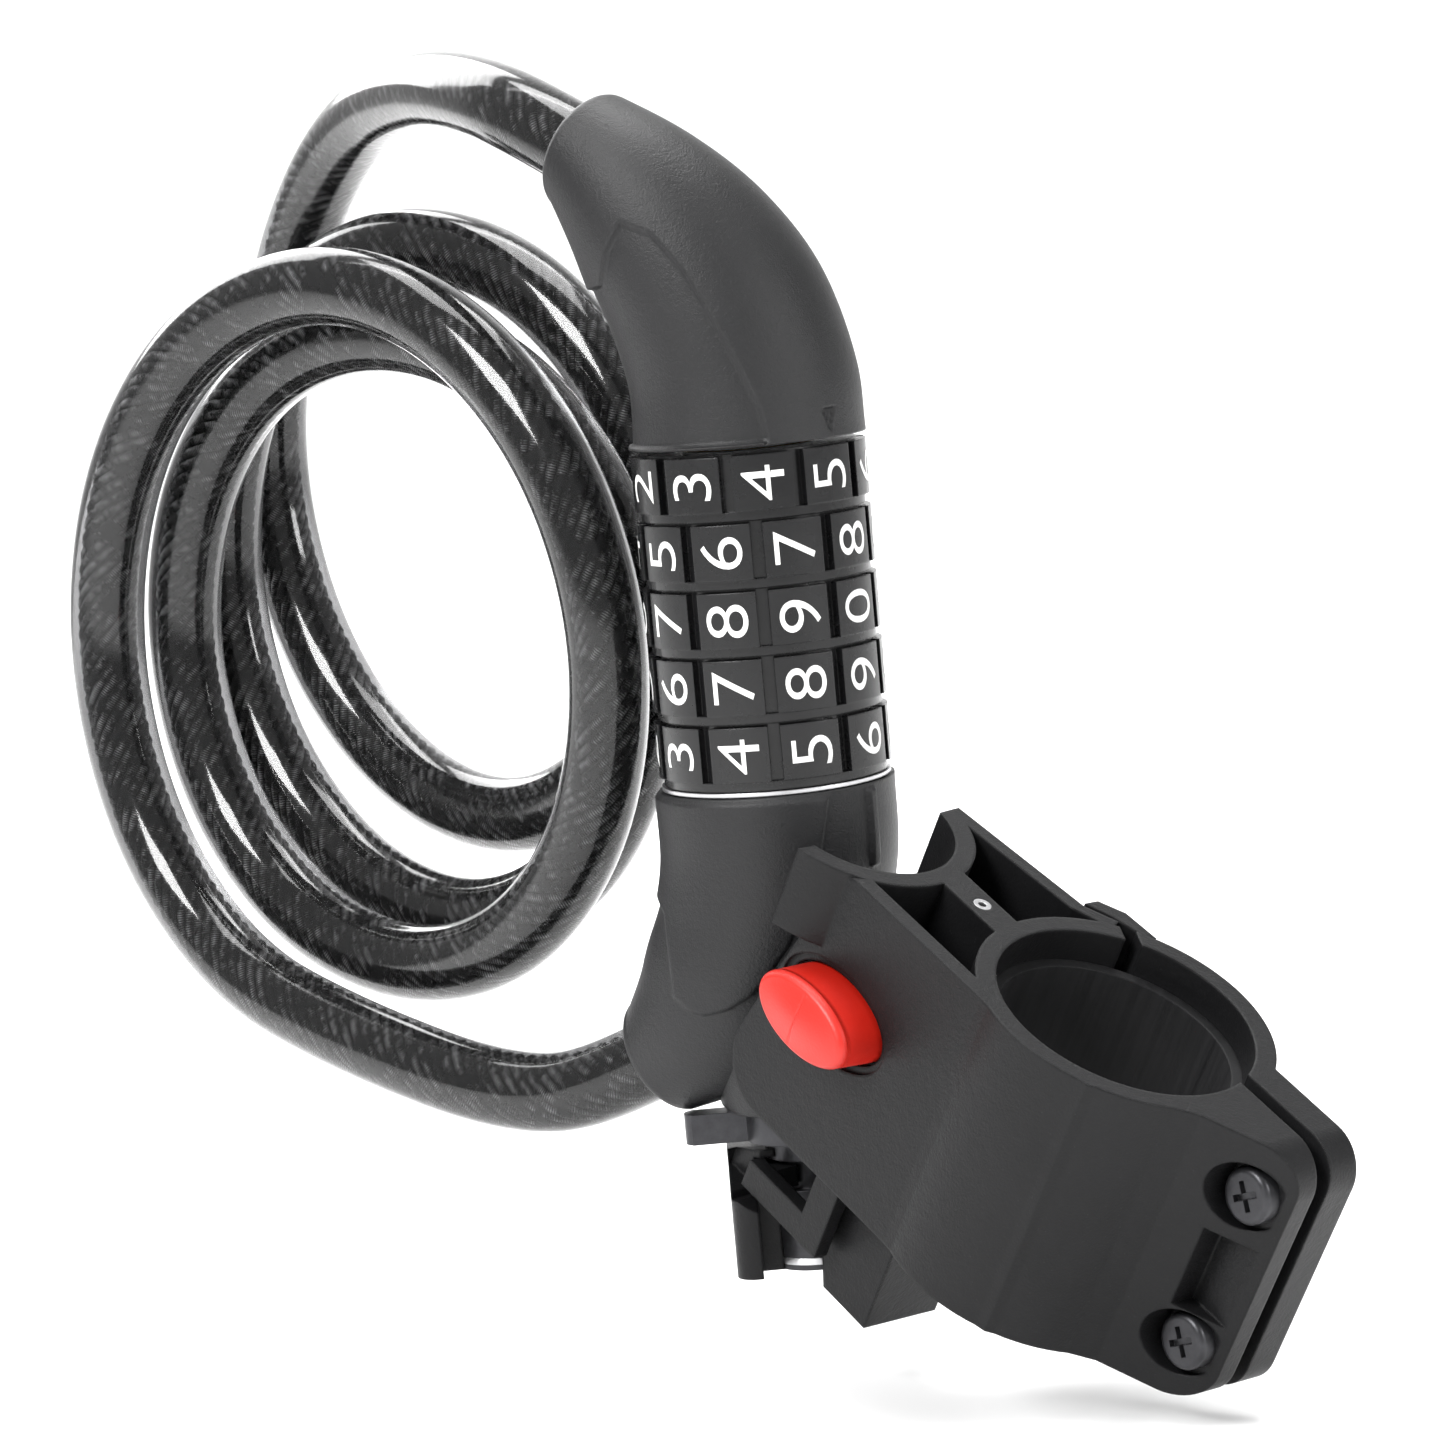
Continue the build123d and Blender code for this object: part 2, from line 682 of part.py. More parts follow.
with BuildPart() as clamp_nuts:
    with BuildSketch(facing_front(13.5)):
        with Locations((screw_x, screw_z), (screw_x, -screw_z)):
            RegularPolygon(4.0, 6)
            Circle(screw_radius, mode=Mode.SUBTRACT)
    extrude(amount=3.1)
clamp_nuts.part.label = "clamp_nuts"
export_step(clamp_nuts.part, "parts/clamp_nuts.step")

with BuildPart() as clamp_liner:
    with BuildSketch(on_bracket(-bracket_half + 2)):
        Circle(bore_radius)
        Circle(liner_radius, mode=Mode.SUBTRACT)
        with Locations((bore_radius, (slot_low + slot_high) / 2)):
            Rectangle(10, slot_high - slot_low, mode=Mode.SUBTRACT)
    extrude(amount=2 * bracket_half - 7)
clamp_liner.part.label = "clamp_liner"
export_step(clamp_liner.part, "parts/clamp_liner.step")

# ---------------------------------------------------------------- button, lever and receiver
with BuildPart() as release_button:
    with BuildSketch(facing_front(-17)):
        with Locations((button_x, button_z)):
            Ellipse(button_long, button_short)
    extrude(amount=-17 - plate_front + button_proud)
    fillet(release_button.faces().sort_by(Axis(bracket_point(0, 0, 0), front_dir))[-1].edges(), 1.6)
    with BuildSketch(facing_front(-15.9)):
        with Locations((button_x, button_z)):
            Ellipse(button_long + 0.4, button_short + 0.9)
    extrude(amount=1.7)
    with BuildSketch(facing_front(-11.2)):
        with Locations((lever_x, button_z)):
            Circle(2)
    extrude(amount=4.7)
release_button.part.label = "release_button"
export_step(release_button.part, "parts/release_button.step")

spring_x = -35.5
spring_radius = 2.6
spring_wire = 0.35
spring_turns = 6
spring_length = 11.9 - 2 * spring_wire - 0.1
spring_start = bracket_point(spring_x, -4 - spring_wire - 0.05, button_z)
with BuildPart() as button_spring:
    with BuildLine() as spring_line:
        Helix(spring_length / spring_turns, spring_length, spring_radius, spring_start, front_dir)
    with BuildSketch(Plane(origin=spring_line.line @ 0, z_dir=spring_line.line % 0)):
        Circle(spring_wire)
    sweep(path=spring_line.line, is_frenet=True)
button_spring.part.label = "button_spring"
export_step(button_spring.part, "parts/button_spring.step")

# The latch tip sits in the foot's groove, square to the lock's axis.
latch_plane = Plane(
    origin=lock_point(0, 0, -83.5),
    x_dir=Vector(front_dir.X, front_dir.Y, 0),
    z_dir=(0, 0, 1),
)
with BuildPart() as latch_lever:
    with BuildSketch(facing_front(-8.4)):
        with BuildLine():
            Polyline(
                (lever_x - lever_width / 2, 5),
                (lever_x - lever_width / 2, -35.8),
                (-43.5, -35.8),
                (-43.5, -40.2),
                (lever_x + lever_width / 2, -40.2),
                (lever_x + lever_width / 2, 5),
                close=True,
            )
        make_face()
    extrude(amount=2.5)
    with BuildSketch(facing_screws(lever_x - lever_width / 2)):
        with Locations((pivot_y, pivot_z)):
            Circle(2.5)
    extrude(amount=lever_width)
    with BuildSketch(facing_screws(lever_x - lever_width / 2)):
        with Locations((pivot_y, pivot_z)):
            Circle(pin_radius + 0.05)
    extrude(amount=lever_width, mode=Mode.SUBTRACT)
    with BuildSketch(latch_plane):
        with Locations((7.4, 0)):
            Rectangle(5.2, 5)
    extrude(amount=3)
latch_lever.part.label = "latch_lever"
export_step(latch_lever.part, "parts/latch_lever.step")

ear_width = 2.2
ear_gap = lever_width / 2 + 0.3
with BuildPart() as latch_pin:
    with BuildSketch(facing_screws(lever_x - ear_gap - ear_width)):
        with Locations((pivot_y, pivot_z)):
            Circle(pin_radius)
    extrude(amount=2 * (ear_gap + ear_width))
latch_pin.part.label = "latch_pin"
export_step(latch_pin.part, "parts/latch_pin.step")

with BuildPart() as receiver:
    with BuildSketch(lock(-96)):
        with Locations((-1, 0)):
            Rectangle(22, 18)
        fillet(vertices(), 3)
    extrude(amount=17.9)
    # the arm that carries it under the bracket's box
    with BuildSketch(on_bracket(-46)):
        with BuildLine():
            Polyline((-38, -7), (-16, -7), (-16, 7), (-38, 7), close=True)
        make_face()
    extrude(amount=25)
    # ears of the lever's pin
    with BuildSketch(on_bracket(-27)):
        for side in (-1, 1):
            with Locations((lever_x + side * (ear_gap + ear_width / 2), -9.5)):
                Rectangle(ear_width, 6)
    extrude(amount=6)
    with BuildSketch(facing_screws(lever_x - 8)):
        with Locations((pivot_y, pivot_z)):
            Circle(pin_radius)
    extrude(amount=16, mode=Mode.SUBTRACT)
    # room for the lever and its tip
    with BuildSketch(on_bracket(-42)):
        with BuildLine():
            Polyline((-50, -7), (-25, -7), (-25, -30), (-50, -30), close=True)
        make_face()
    extrude(amount=14.8, mode=Mode.SUBTRACT)
    with BuildSketch(latch_plane.offset(-0.9)):
        with Locations((9, 0)):
            Rectangle(12, 6)
    extrude(amount=5.2, mode=Mode.SUBTRACT)
    # open window on the round foot
    with BuildSketch(lock(-97)):
        with Locations((-1.9, -9)):
            Rectangle(12.6, 10)
    extrude(amount=20, mode=Mode.SUBTRACT)
    with BuildSketch(lock(-100)):
        Circle(foot_radius + running)
    extrude(amount=40, mode=Mode.SUBTRACT)
    with BuildSketch(lock(-78)):
        Circle(lock_clearance)
    extrude(amount=70, mode=Mode.SUBTRACT)
receiver.part.label = "receiver"
export_step(receiver.part, "parts/receiver.step")
print("receiver solids:", len(receiver.part.solids()))
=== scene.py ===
import json
from math import radians

import bmesh
import bpy
import numpy as np
from mathutils import Matrix, Vector


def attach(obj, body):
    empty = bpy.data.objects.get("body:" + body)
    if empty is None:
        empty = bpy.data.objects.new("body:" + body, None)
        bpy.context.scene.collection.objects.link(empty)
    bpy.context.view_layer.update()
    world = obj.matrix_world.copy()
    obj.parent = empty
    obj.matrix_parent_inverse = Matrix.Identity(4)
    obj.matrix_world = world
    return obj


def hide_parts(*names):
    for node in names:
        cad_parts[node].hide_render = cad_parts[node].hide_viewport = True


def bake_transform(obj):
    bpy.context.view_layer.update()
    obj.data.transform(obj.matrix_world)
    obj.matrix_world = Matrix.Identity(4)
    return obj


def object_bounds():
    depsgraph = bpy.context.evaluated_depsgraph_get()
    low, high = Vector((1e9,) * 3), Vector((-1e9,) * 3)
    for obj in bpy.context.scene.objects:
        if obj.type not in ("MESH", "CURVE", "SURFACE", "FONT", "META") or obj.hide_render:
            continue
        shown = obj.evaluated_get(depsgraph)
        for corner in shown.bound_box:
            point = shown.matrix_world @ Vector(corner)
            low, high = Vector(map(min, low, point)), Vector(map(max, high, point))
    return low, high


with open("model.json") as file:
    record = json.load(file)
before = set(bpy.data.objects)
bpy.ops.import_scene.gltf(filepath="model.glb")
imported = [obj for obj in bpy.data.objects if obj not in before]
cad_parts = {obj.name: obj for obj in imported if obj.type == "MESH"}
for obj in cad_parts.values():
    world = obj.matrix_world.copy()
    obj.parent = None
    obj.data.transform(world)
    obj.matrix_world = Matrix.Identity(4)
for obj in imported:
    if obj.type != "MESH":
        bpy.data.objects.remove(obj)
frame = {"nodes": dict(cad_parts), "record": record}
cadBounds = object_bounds()
nodes = frame["nodes"]
scene = bpy.context.scene
mm = 0.001

lockAxis = np.array([-36.0, 43.6, 71.0]) * mm
tubeAxis = np.array([0.366, -0.373, 0.8525])
tubeAxis /= np.linalg.norm(tubeAxis)
toScrews = np.array([0.5364, -0.664, -0.5209])
toScrews -= tubeAxis * (toScrews @ tubeAxis)
toScrews /= np.linalg.norm(toScrews)
toBack = np.cross(tubeAxis, toScrews)


def unit(rows):
    return rows / np.linalg.norm(rows, axis=-1, keepdims=True)


def onLock(x, y, z):
    return lockAxis + np.array([x, y, z]) * mm


camera = {"place": (-43.1, -652.4, 144.0), "pitch": 7.267, "roll": 5.09, "lens": 121.1}
pitch = radians(camera["pitch"])
roll = radians(camera["roll"])
levelRight = np.array([1.0, 0, 0])
levelUp = np.array([0, np.sin(pitch), np.cos(pitch)])
lookBack = np.array([0, -np.cos(pitch), np.sin(pitch)])
columns = np.eye(4)
columns[:3, 0] = levelRight * np.cos(roll) - levelUp * np.sin(roll)
columns[:3, 1] = levelRight * np.sin(roll) + levelUp * np.cos(roll)
columns[:3, 2] = lookBack
columns[:3, 3] = np.array(camera["place"]) * mm
eye = bpy.data.objects.new("camera", bpy.data.cameras.new("camera"))
eye.data.lens = camera["lens"]
eye.data.sensor_width = 36
eye.data.clip_end = 20
eye.matrix_world = Matrix(columns.tolist())
scene.collection.objects.link(eye)
scene.camera = eye
print("camera set")


class Value:
    # one output of a material's node tree, with arithmetic
    def __init__(self, tree, socket):
        self.tree = tree
        self.socket = socket

    def maths(self, operation, *others, clamp=False):
        node = self.tree.nodes.new("ShaderNodeMath")
        node.operation = operation
        node.use_clamp = clamp
        for place, item in zip(node.inputs, (self, *others)):
            feed(self.tree, place, item)
        return Value(self.tree, node.outputs[0])

    def __add__(self, other):
        return self.maths("ADD", other)

    def __sub__(self, other):
        return self.maths("SUBTRACT", other)

    def __mul__(self, other):
        return self.maths("MULTIPLY", other)

    def __truediv__(self, other):
        return self.maths("DIVIDE", other)

    def __rsub__(self, other):
        return (self * -1) + other

    __radd__ = __add__
    __rmul__ = __mul__


def feed(tree, place, item):
    if isinstance(item, Value):
        tree.links.new(item.socket, place)
    else:
        place.default_value = item


class Finish:
    # a material with one principled shader
    def __init__(self, name, **constants):
        self.material = bpy.data.materials.new(name)
        self.material.use_nodes = True
        self.tree = self.material.node_tree
        self.shader = self.tree.nodes["Principled BSDF"]
        for key, item in constants.items():
            self.shader.inputs[key.replace("_", " ")].default_value = item

    def node(self, kind, output=0, settings=None, **inputs):
        made = self.tree.nodes.new(kind)
        for key, item in (settings or {}).items():
            setattr(made, key, item)
        for key, item in inputs.items():
            feed(self.tree, made.inputs[key.replace("_", " ")], item)
        return Value(self.tree, made.outputs[output])

    def place(self):
        return self.node("ShaderNodeTexCoord", output="Object")

    def noise(self, scale, detail=3.0, rough=0.5, where=None):
        found = self.place() if where is None else where
        return self.node("ShaderNodeTexNoise", Vector=found, Scale=scale, Detail=detail, Roughness=rough)

    def spots(self, scale, size):
        # 1 at the middle of each random cell and 0 outside the spot
        away = self.node("ShaderNodeTexVoronoi", Vector=self.place(), Scale=scale)
        return (size - away).maths("DIVIDE", size, clamp=True)

    def blend(self, amount, low, high):
        mix = self.tree.nodes.new("ShaderNodeMix")
        mix.data_type = "RGBA"
        feed(self.tree, mix.inputs[0], amount)
        feed(self.tree, mix.inputs[6], (*low, 1))
        feed(self.tree, mix.inputs[7], (*high, 1))
        return Value(self.tree, mix.outputs[2])

    def set(self, **varying):
        for key, item in varying.items():
            feed(self.tree, self.shader.inputs[key.replace("_", " ")], item)

    def relief(self, height, distance, strength=1.0, rounding=0.0):
        inputs = {"Height": height, "Distance": distance, "Strength": strength}
        if rounding:
            inputs["Normal"] = self.node("ShaderNodeBevel", settings={"samples": 4}, Radius=rounding)
        self.set(Normal=self.node("ShaderNodeBump", **inputs))


def makeNylon():
    made = Finish("nylon", Specular_IOR_Level=0.2)
    grain = made.noise(2600, 4.0, 0.6)
    patches = made.noise(45, 4.0, 0.6)
    dust = made.spots(700, 0.09)
    made.set(Base_Color=made.blend(dust * 0.5 + patches * 0.25, (0.003, 0.003, 0.0033), (0.035, 0.035, 0.037)))
    made.set(Roughness=patches * 0.26 + 0.28)
    made.relief(grain + made.noise(600, 3.0) * 0.8, 0.00008, 0.9, rounding=0.0006)
    return made.material


def makeBootSkin():
    made = Finish("bootSkin", Specular_IOR_Level=0.4)
    grain = made.noise(4200, 3.0, 0.6)
    cloud = made.noise(60, 4.0, 0.6)
    made.set(Base_Color=made.blend(cloud, (0.004, 0.004, 0.0045), (0.010, 0.010, 0.011)))
    made.set(Roughness=cloud * 0.16 + 0.36)
    made.relief(grain + made.noise(1500, 3.0, 0.6), 0.00009, 1.0)
    return made.material


def makeDialGloss():
    made = Finish("dialGloss", Coat_Weight=0.2, Coat_Roughness=0.1, Specular_IOR_Level=0.35)
    smear = made.noise(160, 4.0, 0.6)
    made.set(Base_Color=made.blend(smear, (0.002, 0.002, 0.0025), (0.007, 0.007, 0.0075)))
    made.set(Roughness=smear * 0.22 + 0.16)
    made.relief(made.noise(900, 2.0), 0.00002, 0.6, rounding=0.0003)
    return made.material


def makeNumberPaint():
    made = Finish("numberPaint")
    wear = made.noise(1500, 3.0, 0.7)
    made.set(Base_Color=made.blend(wear, (0.72, 0.72, 0.71), (0.92, 0.92, 0.91)))
    made.set(Roughness=wear * 0.2 + 0.4)
    return made.material


def makeJacket():
    made = Finish(
        "smokeJacket", Transmission_Weight=0.97, IOR=1.42, Coat_Weight=0.12, Coat_Roughness=0.05
    )
    haze = made.noise(220, 4.0, 0.6)
    made.set(Base_Color=made.blend(haze, (0.15, 0.15, 0.152), (0.24, 0.24, 0.245)))
    made.set(Roughness=haze * 0.08 + 0.07)
    made.relief(made.noise(90, 3.0), 0.00012, 0.5)
    return made.material


def makeStrand():
    made = Finish("ropeSteel", Metallic=0.9)
    wires = made.node("ShaderNodeUVMap", settings={"uv_map": "strandUv"})
    lines = made.node(
        "ShaderNodeTexWave", output=1, settings={"bands_direction": "Y"}, Vector=wires, Scale=1.0
    )
    around = made.node("ShaderNodeSeparateXYZ", Vector=wires)
    paintedCrestLight = (1 - (around - 0.5).maths("ABSOLUTE") * 5.5).maths("MAXIMUM", 0.0)  # painted highlight mask: 1 on the strand's outer side, which is painted lighter, and 0 in the gaps between strands, which stay painted dark
    tone = made.noise(340, 3.0, 0.65)
    # painted glints: bright dashes painted on the strands' outer sides in place of reflected light, and the
    # outer side painted slightly lighter than the shaded gaps
    paintedGlint = ((tone - 0.47) * 7).maths("MULTIPLY", lines, clamp=True) * paintedCrestLight
    made.set(Base_Color=made.blend(paintedGlint + paintedCrestLight * 0.05, (0.004, 0.004, 0.0045), (0.95, 0.95, 0.96)))
    made.set(Roughness=tone * 0.2 + 0.18)
    made.relief(lines, 0.00015, 0.9)
    return made.material


def makeRed():
    made = Finish("redPlastic")
    tone = made.noise(90, 3.0, 0.6)
    made.set(Base_Color=made.blend(tone, (0.44, 0.008, 0.003), (0.60, 0.016, 0.006)))
    made.set(Roughness=tone * 0.2 + 0.34)
    made.relief(made.noise(2400, 3.0), 0.00004, 0.8)
    return made.material


def makeMetal(name, low, high, roughness, metallic=1.0):
    made = Finish(name, Metallic=metallic)
    tone = made.noise(500, 4.0, 0.6)
    made.set(Base_Color=made.blend(tone, low, high))
    made.set(Roughness=tone * 0.18 + roughness)
    made.relief(made.noise(3000, 3.0), 0.00002, 0.6, rounding=0.0002)
    return made.material


def makeLinerRubber():
    made = Finish("linerRubber", Specular_IOR_Level=0.22)
    turn = Matrix((toScrews, toBack, tubeAxis)).to_euler()
    turned = made.node("ShaderNodeMapping", Vector=made.place(), Rotation=tuple(turn))
    stretched = made.node("ShaderNodeMapping", Vector=turned, Scale=(900, 900, 25))
    streak = made.noise(1.0, 4.0, 0.65, where=stretched)
    made.set(Base_Color=made.blend(streak, (0.003, 0.003, 0.0033), (0.022, 0.022, 0.023)))
    made.set(Roughness=streak * 0.3 + 0.42)
    made.relief(streak, 0.00006, 0.9, rounding=0.0004)
    return made.material


finishes = {
    "bracket_nylon": makeNylon(),
    "boot_skin": makeBootSkin(),
    "dial_gloss": makeDialGloss(),
    "red_plastic": makeRed(),
    "clear_jacket": makeJacket(),
    "zinc_core": makeMetal("zinc", (0.45, 0.45, 0.46), (0.6, 0.6, 0.61), 0.4),
    "bare_steel": makeMetal("bareSteel", (0.5, 0.5, 0.51), (0.72, 0.72, 0.73), 0.22),
    "black_steel": makeMetal("blackSteel", (0.02, 0.02, 0.022), (0.06, 0.06, 0.065), 0.28, 0.7),
    "liner_rubber": makeLinerRubber(),
    "brass_sleeve": makeMetal("brass", (0.55, 0.38, 0.14), (0.72, 0.52, 0.22), 0.3),
}


for subpart in frame["record"]["subparts"]:
    mesh = nodes[subpart["node"]].data
    mesh.materials.clear()
    mesh.materials.append(finishes[subpart["material_slot"]])
print("finishes on the frame")


def addMesh(name, points, faces, material, uv=None, uvName="pieceUv"):
    mesh = bpy.data.meshes.new(name)
    mesh.from_pydata(points.reshape(-1, 3), [], faces.tolist())
    mesh.polygons.foreach_set("use_smooth", np.ones(len(mesh.polygons), bool))
    if uv is not None:
        layer = mesh.uv_layers.new(name=uvName)
        corners = np.empty(len(mesh.loops), int)
        mesh.loops.foreach_get("vertex_index", corners)
        layer.data.foreach_set("uv", uv.reshape(-1, 2)[corners].ravel())
    mesh.materials.append(material)
    mesh.update()
    made = bpy.data.objects.new(name, mesh)
    scene.collection.objects.link(made)
    return made


def gridFaces(rows, columns, wrap=True):
    # quads between neighbouring rows, closed round each row when wrap is set
    row = np.arange(rows - 1)[:, None]
    column = np.arange(columns if wrap else columns - 1)[None, :]
    after = (column + 1) % columns
    return np.stack(
        np.broadcast_arrays(
            row * columns + column,
            row * columns + after,
            (row + 1) * columns + after,
            (row + 1) * columns + column,
        ),
        axis=-1,
    ).reshape(-1, 4)


def smoothTable(values, stations):
    # Catmull-Rom curve through the rows of a table, at stations counted in rows
    index = np.clip(stations.astype(int), 0, len(values) - 2)
    part = (stations - index)[:, None]
    padded = np.concatenate([values[:1] * 2 - values[1:2], values, values[-1:] * 2 - values[-2:-1]])
    a, b, c, d = (padded[index + step] for step in range(4))
    return 0.5 * (
        2 * b + (c - a) * part + (2 * a - 5 * b + 4 * c - d) * part**2 + (3 * b - a - 3 * c + d) * part**3
    )


cable = {
    "lowerMouth": (-19.0, 4.5, -64.0),
    "lowerWay": (-0.75, 0.47, -0.46),
    "upperMouth": (-18.5, 5.0, 67.0),
    "upperWay": (-0.66, 0.59, 0.47),
    "inset": 10.0,
    "heading": 45,
    "start": (-69.4, 47.3, -7.6),
    "pitch": 12.8,
    "halfTurnRadius": (57.8, 56.0, 54.2, 52.0, 50.0, 50.8, 51.2, 54.6, 57.4),
    "halfTurnRise": (0, 4, 4, -1, 5, 13, 20, 37.5, 56),
    "halfTurnShift": (0.4, 2.4, 3, 0.5, -1, -7.5, -4.5, -1.1, 2.9),
    "pointsPerTurn": 12,
    "lastPoint": 39,
    "radius": 6.0,
    "length": 1.292,
    "rings": 760,
    "sides": 40,
}
lowerMouth = onLock(*cable["lowerMouth"])
upperMouth = onLock(*cable["upperMouth"])
lowerWay = unit(np.array(cable["lowerWay"]))
upperWay = unit(np.array(cable["upperWay"]))
heading = radians(cable["heading"])
coilAxis = np.array([np.sin(heading), np.cos(heading), 0])
coilRight = np.array([np.cos(heading), -np.sin(heading), 0])

route = [
    lowerMouth - lowerWay * cable["inset"] * mm,
    lowerMouth + lowerWay * 11 * mm,
    onLock(-43, 22, -72.5),
]
for step in range(cable["lastPoint"] + 1):
    turns = step / cable["pointsPerTurn"]
    halves = 2 * turns
    station = np.arange(len(cable["halfTurnRadius"]))
    radius = np.interp(halves, station, cable["halfTurnRadius"])
    centre = onLock(*cable["start"]) + coilAxis * cable["pitch"] * turns * mm
    centre = centre + coilRight * np.interp(halves, station, cable["halfTurnShift"]) * mm
    centre = centre + np.array([0, 0, np.interp(halves, station, cable["halfTurnRise"])]) * mm
    angle = 2 * np.pi * turns
    spoke = coilRight * radius * np.sin(angle) + np.array([0, 0, radius * np.cos(angle)])
    route.append(centre - spoke * mm)
route += [
    onLock(-73, 108, 48),
    onLock(-64.5, 95, 65.5),
    onLock(-55, 77, 75.5),
    onLock(-45.5, 55, 78.5),
    onLock(-36.5, 33, 77.5),
    upperMouth + upperWay * 12 * mm,
    upperMouth - upperWay * cable["inset"] * mm,
]

line = bpy.data.curves.new("cableRoute", "CURVE")
line.dimensions = "3D"
spline = line.splines.new("NURBS")
spline.points.add(len(route) - 1)
spline.points.foreach_set("co", np.concatenate([np.array(route), np.ones((len(route), 1))], 1).ravel())
spline.order_u = 3
spline.use_endpoint_u = True
line.resolution_u = 14
routeObject = bpy.data.objects.new("cableRoute", line)
scene.collection.objects.link(routeObject)
bpy.context.view_layer.update()
routeMesh = bpy.data.meshes.new_from_object(routeObject)
traced = np.empty(len(routeMesh.vertices) * 3)
routeMesh.vertices.foreach_get("co", traced)
traced = traced.reshape(-1, 3)
bpy.data.objects.remove(routeObject)
bpy.data.meshes.remove(routeMesh)

run = np.r_[0, np.cumsum(np.linalg.norm(np.diff(traced, axis=0), axis=1))]
cableLength = run[-1]


def alongCable(count):
    # evenly spaced points, and at each one the tangent and two directions square to it
    distance = np.linspace(0, cableLength, count)
    points = np.stack([np.interp(distance, run, traced[:, axis]) for axis in range(3)], 1)
    tangent = unit(np.gradient(points, axis=0))
    side = unit(coilAxis - tangent * (tangent @ coilAxis)[:, None])
    return distance, points, side, np.cross(tangent, side)


def tubeAround(points, side, other, radius, sides):
    # each ring is the centre plus radius times the cosine along one side and the sine along the other
    angle = np.linspace(0, 2 * np.pi, sides, endpoint=False)
    ring = np.cos(angle)[None, :, None] * side[:, None] + np.sin(angle)[None, :, None] * other[:, None]
    return points[:, None] + ring * radius


distance, spine, side, other = alongCable(cable["rings"])
skin = tubeAround(spine, side, other, cable["radius"] * mm, cable["sides"])
jacket = addMesh("cableJacket", skin, gridFaces(*skin.shape[:2]), finishes["clear_jacket"])
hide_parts("cable_jacket")

strands = {
    "count": 10,
    "radius": 0.82,
    "ring": 2.5,
    "lay": 26.0,
    "core": 2.2,
    "wirePitch": 0.9,
    "sides": 8,
    "points": 900,
    "coreRings": 300,
    "coreSides": 16,
}
distance, spine, side, other = alongCable(strands["points"])
strandPoints = []
strandFaces = []
strandUv = []
for number in range(strands["count"]):
    phase = 2 * np.pi * (number / strands["count"] + distance / (strands["lay"] * mm))
    out = np.cos(phase)[:, None] * side + np.sin(phase)[:, None] * other
    centre = spine + out * strands["ring"] * mm
    tangent = unit(np.gradient(centre, axis=0))
    across = np.cross(tangent, out)
    before = number * strands["points"] * strands["sides"]
    strandFaces.append(gridFaces(strands["points"], strands["sides"]) + before)
    wall = tubeAround(centre, -unit(out), -unit(across), strands["radius"] * mm, strands["sides"])
    strandPoints.append(wall.reshape(-1, 3))
    around = np.linspace(0, 1, strands["sides"], endpoint=False)[None, :]
    along = (distance / (strands["wirePitch"] * mm))[:, None] + around
    strandUv.append(np.stack(np.broadcast_arrays(around, along), -1).reshape(-1, 2))
distance, spine, side, other = alongCable(strands["coreRings"])
before = strands["count"] * strands["points"] * strands["sides"]
strandFaces.append(gridFaces(strands["coreRings"], strands["coreSides"]) + before)
core = tubeAround(spine, side, other, strands["core"] * mm, strands["coreSides"])
strandPoints.append(core.reshape(-1, 3))
strandUv.append(np.zeros((strands["coreRings"] * strands["coreSides"], 2)))
rope = addMesh(
    "wireStrands", np.concatenate(strandPoints), np.concatenate(strandFaces), makeStrand(),
    np.concatenate(strandUv), "strandUv",
)
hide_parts("wire_rope")
for piece in (jacket, rope):
    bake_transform(piece)
print("cable", round(cableLength, 4))


boots = {
    "upper": {
        "body": "bolt_end",
        "sign": 1,
        "sections": (
            (0, 0, 24.75, 0, 0, 1, 17.1),
            (-0.2, 0, 34, -0.06, 0, 1, 16.8),
            (-2.9, 0.2, 44.5, -0.27, 0.04, 1, 16.05),
            (-7.5, 1.0, 53.4, -0.45, 0.15, 1, 14.5),
            (-12.8, 2.4, 60.6, -0.62, 0.38, 0.8, 12.0),
            (-18.5, 5.0, 67.0, -0.66, 0.59, 0.47, 9.2),
        ),
        "tongue": (
            (-24, 20), (-24, 46.4), (-19.2, 48.4), (-17.8, 53.4), (-15.3, 57.2),
            (-11.2, 55.4), (-7.3, 50.3), (-2.5, 40.6), (2.0, 30), (3.5, 20),
        ),
        "raise": -0.75,
        "mark": (-46, 1.5, 25.2, 29.2, -0.7),
    },
    "lower": {
        "body": "lock_body",
        "sign": -1,
        "sections": (
            (0, 0, -24.75, 0, 0, -1, 17.1),
            (-0.3, 0, -36, -0.06, 0, -1, 16.9),
            (-2.8, 0.3, -45.5, -0.3, 0.04, -1, 16.2),
            (-7.4, 1.2, -53.5, -0.5, 0.15, -1, 14.8),
            (-12.8, 2.6, -59.5, -0.68, 0.34, -0.75, 12.4),
            (-19.0, 4.5, -64.0, -0.75, 0.47, -0.46, 9.2),
        ),
        "tongue": (
            (-22, -20), (-22, -33.6), (-17.6, -42), (-17.4, -53.5), (-15.3, -55.4),
            (-13.4, -56.0), (-9.8, -55.2), (-6.4, -53.3), (-4.0, -50.8), (-0.4, -46.4),
            (1.4, -42.6), (4.6, -35.5), (8, -20),
        ),
        "raise": 0.7,
        "mark": (-40, 1.0, -37, -25.2, 0.6),
    },
}


def insideBy(x, z, outline):
    # signed distance to a closed outline, positive inside it
    corners = np.array(outline, float)
    after = np.roll(corners, -1, axis=0)
    edge = after - corners
    point = np.stack([x, z], -1)[..., None, :]
    part = np.clip(((point - corners) * edge).sum(-1) / (edge**2).sum(-1), 0, 1)
    away = np.linalg.norm(point - corners - part[..., None] * edge, axis=-1).min(-1)
    above = (corners[:, 1] > point[..., 1]) != (after[:, 1] > point[..., 1])
    rise = np.where(edge[:, 1] == 0, 1e-9, edge[:, 1])
    crossing = corners[:, 0] + (point[..., 1] - corners[:, 1]) / rise * edge[:, 0]
    inside = (above & (point[..., 0] < crossing)).sum(-1) % 2 == 1
    return np.where(inside, away, -away)


def smoothStep(values):
    part = np.clip(values, 0, 1)
    return part * part * (3 - 2 * part)


